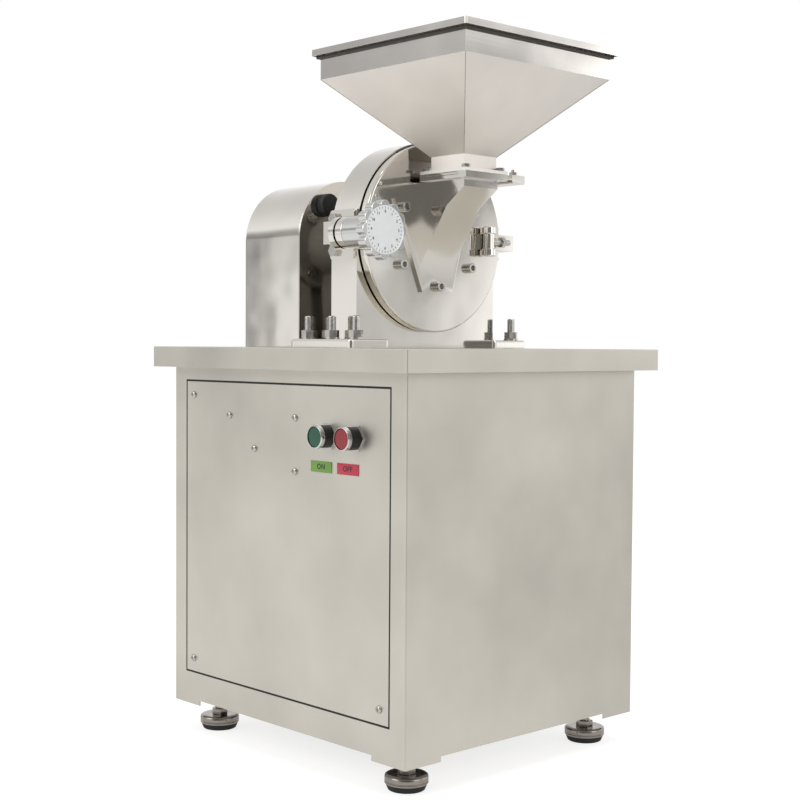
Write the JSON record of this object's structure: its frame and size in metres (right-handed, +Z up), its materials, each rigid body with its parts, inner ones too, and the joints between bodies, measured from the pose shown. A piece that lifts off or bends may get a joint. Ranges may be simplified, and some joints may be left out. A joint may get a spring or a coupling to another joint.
{
  "type": "sugar grinder",
  "caption": "Stainless pin mill for sugar: square lidded hopper, sloping feed chute and hinged round door on a cabinet that holds the belt-drive motor.",
  "frame": {"origin": "on the floor, under the middle of the table top", "axes": "+X is the way the mill's door faces, -Y is the way the control panel faces, +Z is up"},
  "size_m": [0.5, 0.45, 0.8905],
  "materials": {
    "satin_steel": "satin stainless sheet",
    "hopper_steel": "fine satin stainless sheet",
    "polished_steel": "mirror polished stainless",
    "fastener_steel": "bright stainless fasteners",
    "ground_steel": "ground steel",
    "cast_grey": "grey painted casting",
    "motor_paint": "semi gloss grey paint",
    "lamination": "bare laminations",
    "aluminium": "plain cast aluminium",
    "black_rubber": "matt black rubber",
    "black_plastic": "matt black plastic",
    "grey_plastic": "matt grey plastic",
    "white_plastic": "gloss white plastic",
    "green_plastic": "gloss green plastic",
    "red_plastic": "gloss red plastic",
    "chrome_trim": "chrome plate",
    "foot_metal": "dark nickel plate on a black rubber pad",
    "brass_gland": "nickelled brass"
  },
  "bodies": {
    "stand": {"cabinet_shell": "satin_steel", "table_top": "satin_steel", "front_panel": "satin_steel", "rear_panel": "satin_steel", "pan_screws": "fastener_steel", "button_bodies": "black_plastic", "button_bezels": "chrome_trim", "button_nuts": "fastener_steel", "contactor": "grey_plastic", "terminal_block": "grey_plastic", "cable_gland": "brass_gland", "motor_rails": "cast_grey", "motor_frame": "motor_paint", "motor_stator": "lamination", "motor_end_shields": "motor_paint", "fan_cover": "motor_paint", "motor_terminal_box": "motor_paint", "v_belts": "black_rubber", "mill_housing": "polished_steel", "hold_down_bolts": "fastener_steel", "bearing_housing": "cast_grey", "bearing_outer_rings": "ground_steel", "bearing_caps": "ground_steel", "ring_screen": "ground_steel", "latch_bracket": "polished_steel", "hinge_bracket": "polished_steel", "hinge_pin": "ground_steel", "bracket_bolts": "fastener_steel", "belt_cover": "polished_steel", "cover_end_plate": "polished_steel", "cover_knobs": "black_plastic", "discharge_chute": "polished_steel", "discharge_cheeks": "polished_steel"},
    "mill_spindle": {"spindle": "ground_steel", "rotor_disc": "ground_steel", "rotor_nut": "fastener_steel", "spindle_pulley": "cast_grey", "bearing_inner_rings": "ground_steel"},
    "motor_armature": {"motor_rotor": "ground_steel", "motor_fan": "black_plastic", "motor_pulley": "cast_grey"},
    "mill_door": {"door": "polished_steel", "hinge_strap": "polished_steel", "door_gasket": "black_rubber", "fixed_disc": "ground_steel", "door_bolts": "fastener_steel", "feed_chute": "polished_steel", "flange_bolts": "fastener_steel", "hopper": "hopper_steel"},
    "hand_screw_wheel": {"handwheel": "aluminium", "dial_plate": "white_plastic", "hand_screw": "ground_steel"},
    "gate": {"feed_gate": "polished_steel"},
    "lid": {"hopper_lid": "hopper_steel"},
    "start_button": {"start_cap": "green_plastic"},
    "stop_button": {"stop_cap": "red_plastic"},
    "foot_1": {"levelling_foot_1": "foot_metal"},
    "foot_2": {"levelling_foot_2": "foot_metal"},
    "foot_3": {"levelling_foot_3": "foot_metal"},
    "foot_4": {"levelling_foot_4": "foot_metal"}
  },
  "joints": [
    {"name": "motor_spin", "type": "hinge", "parent": "stand", "child": "motor_armature", "pos_m": [0, 0, 0.163], "axis": [1, 0, 0], "continuous": true},
    {"name": "spindle_spin", "type": "hinge", "parent": "stand", "child": "mill_spindle", "pos_m": [0, 0, 0.6565], "axis": [1, 0, 0], "continuous": true},
    {"name": "door_swing", "type": "hinge", "parent": "stand", "child": "mill_door", "pos_m": [0.024, 0.137, 0.6565], "axis": [0, 0, 1], "range_deg": [0, 110]},
    {"name": "handwheel_turn", "type": "hinge", "parent": "mill_door", "child": "hand_screw_wheel", "pos_m": [0.1, -0.141, 0.6565], "axis": [1, 0, 0], "continuous": true},
    {"name": "gate_slide", "type": "slide", "parent": "mill_door", "child": "gate", "axis": [0, 1, 0], "range_m": [0, 0.062]},
    {"name": "lid_lift", "type": "slide", "parent": "mill_door", "child": "lid", "axis": [0, 0, 1], "range_m": [0, 0.12]},
    {"name": "start_press", "type": "slide", "parent": "stand", "child": "start_button", "axis": [0, 1, 0], "range_m": [0, 0.003], "stiffness_N_per_m": 400},
    {"name": "stop_press", "type": "slide", "parent": "stand", "child": "stop_button", "axis": [0, 1, 0], "range_m": [0, 0.003], "stiffness_N_per_m": 400},
    {"name": "foot_1_turn", "type": "hinge", "parent": "stand", "child": "foot_1", "pos_m": [-0.185, -0.161, 0.04], "axis": [0, 0, 1], "continuous": true},
    {"name": "foot_2_turn", "type": "hinge", "parent": "stand", "child": "foot_2", "pos_m": [0.185, -0.161, 0.04], "axis": [0, 0, 1], "continuous": true},
    {"name": "foot_3_turn", "type": "hinge", "parent": "stand", "child": "foot_3", "pos_m": [-0.185, 0.161, 0.04], "axis": [0, 0, 1], "continuous": true},
    {"name": "foot_4_turn", "type": "hinge", "parent": "stand", "child": "foot_4", "pos_m": [0.185, 0.161, 0.04], "axis": [0, 0, 1], "continuous": true}
  ],
  "couplings": [
    {"joint": "spindle_spin", "follows": "motor_spin", "ratio": 1.5625}
  ]
}
